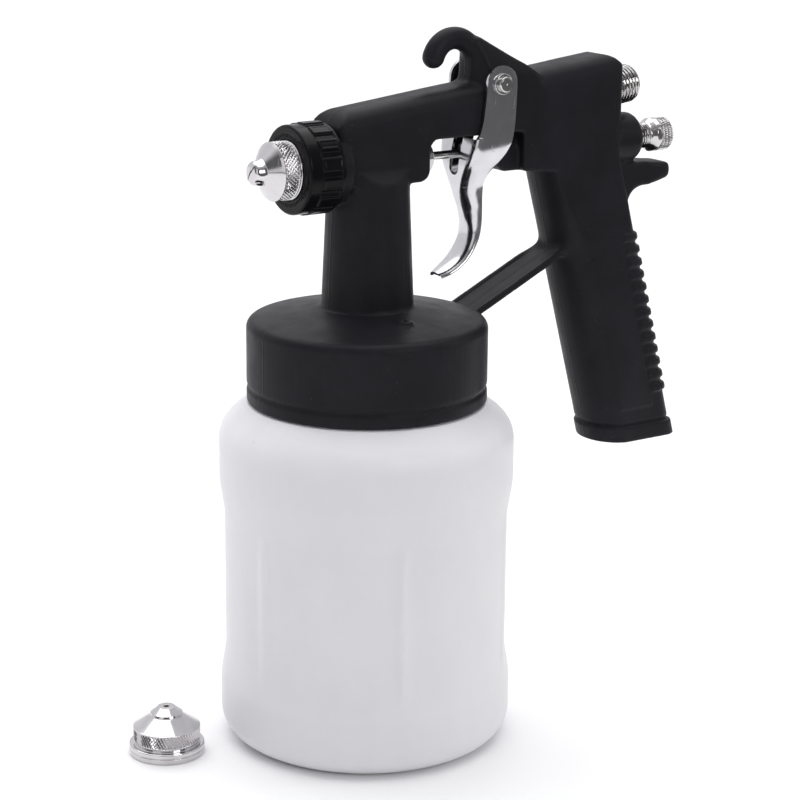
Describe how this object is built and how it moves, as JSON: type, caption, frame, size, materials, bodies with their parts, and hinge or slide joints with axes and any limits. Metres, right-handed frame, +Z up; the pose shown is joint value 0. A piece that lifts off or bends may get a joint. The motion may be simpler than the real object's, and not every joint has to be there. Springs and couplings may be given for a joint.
{
  "type": "suction-feed spray gun",
  "caption": "Hand-held suction-feed air spray gun with a black plastic body, chromed trigger and caps, a screw-on paint bottle and a spare air cap.",
  "frame": {"origin": "centre of the bottle's base, on the surface it stands on", "axes": "+Z up along the bottle's axis, -X the way the nozzle sprays, +X towards the handle, Y across"},
  "size_m": [0.2077, 0.0986, 0.238],
  "materials": {
    "black_plastic": "satin moulded black plastic",
    "ring_finish": "glossy black moulded plastic",
    "chrome": "bright nickel-chrome plating",
    "cap_chrome": "bright plating with knurling",
    "trigger_chrome": "polished pressed sheet, lightly scratched",
    "steel": "turned stainless steel",
    "brass": "turned",
    "white_plastic": "white PTFE",
    "rubber": "matt",
    "tube_plastic": "clear polyethylene",
    "bottle_plastic": "translucent natural polyethylene"
  },
  "bodies": {
    "gun": {"gun_body": "black_plastic", "fluid_nozzle": "steel", "air_baffle": "white_plastic", "needle_packing": "white_plastic", "packing_nut": "chrome", "valve_gland": "brass", "valve_spring": "steel", "needle_spring": "steel", "adjuster_bush": "brass", "inlet_nipple": "chrome", "inlet_washer": "rubber", "trigger_pin": "chrome", "pin_clips": "chrome", "siphon_tube": "tube_plastic"},
    "air_cap": {"air_cap": "cap_chrome"},
    "cap_washer": {"cap_washer": "white_plastic"},
    "retaining_ring": {"retaining_ring": "ring_finish"},
    "needle": {"needle": "steel", "needle_collar": "steel", "spring_collar": "steel"},
    "valve_plunger": {"valve_plunger": "chrome", "valve_seal": "rubber"},
    "spring_seat": {"spring_seat": "brass"},
    "adjuster_knob": {"adjuster_knob": "chrome"},
    "trigger": {"trigger": "trigger_chrome"},
    "jar_gasket": {"jar_gasket": "rubber"},
    "bottle": {"bottle": "bottle_plastic"},
    "spare_cap": {"spare_cap": "cap_chrome"}
  },
  "joints": [
    {"name": "trigger_pull", "type": "hinge", "parent": "gun", "child": "trigger", "pos_m": [0.0452, 0, 0.2197], "axis": [0, -1, 0], "range_deg": [0, 14], "stiffness_Nm_per_rad": 0.3, "springref_deg": -8.59},
    {"name": "valve_travel", "type": "slide", "parent": "gun", "child": "valve_plunger", "axis": [1, 0, 0], "range_m": [0, 0.006], "deforming": ["valve_spring"]},
    {"name": "needle_travel", "type": "slide", "parent": "gun", "child": "needle", "axis": [1, 0, 0], "range_m": [0, 0.005], "deforming": ["needle_spring"]},
    {"name": "seat_travel", "type": "slide", "parent": "gun", "child": "spring_seat", "axis": [1, 0, 0], "range_m": [-0.00202, 0.00403]},
    {"name": "adjuster_turn", "type": "hinge", "parent": "spring_seat", "child": "adjuster_knob", "pos_m": [0.11, 0, 0.196], "axis": [1, 0, 0], "range_deg": [-720, 1440]},
    {"name": "washer_travel", "type": "slide", "parent": "gun", "child": "cap_washer", "axis": [-1, 0, 0], "range_m": [0, 0.0061]},
    {"name": "ring_turn", "type": "hinge", "parent": "cap_washer", "child": "retaining_ring", "pos_m": [-0.024, 0, 0.196], "axis": [-1, 0, 0], "range_deg": [0, 1440]},
    {"name": "cap_turn", "type": "hinge", "parent": "gun", "child": "air_cap", "pos_m": [-0.035, 0, 0.196], "axis": [-1, 0, 0], "continuous": true},
    {"name": "gasket_travel", "type": "slide", "parent": "gun", "child": "jar_gasket", "axis": [0, 0, -1], "range_m": [0, 0.0076]},
    {"name": "bottle_turn", "type": "hinge", "parent": "jar_gasket", "child": "bottle", "pos_m": [0, 0, 0.1], "axis": [0, 0, -1], "range_deg": [0, 540]},
    {"name": "spare_cap_lift", "type": "slide", "parent": "gun", "child": "spare_cap", "axis": [0, 0, 1], "range_m": [0, 0.03]}
  ],
  "couplings": [
    {"joint": "valve_travel", "follows": "trigger_pull", "m_per_rad": 0.024},
    {"joint": "needle_travel", "follows": "trigger_pull", "m_per_rad": 0.02},
    {"joint": "seat_travel", "follows": "adjuster_turn", "m_per_rad": 0.00015915},
    {"joint": "washer_travel", "follows": "ring_turn", "m_per_rad": 0.00023873},
    {"joint": "gasket_travel", "follows": "bottle_turn", "m_per_rad": 0.00079577}
  ]
}
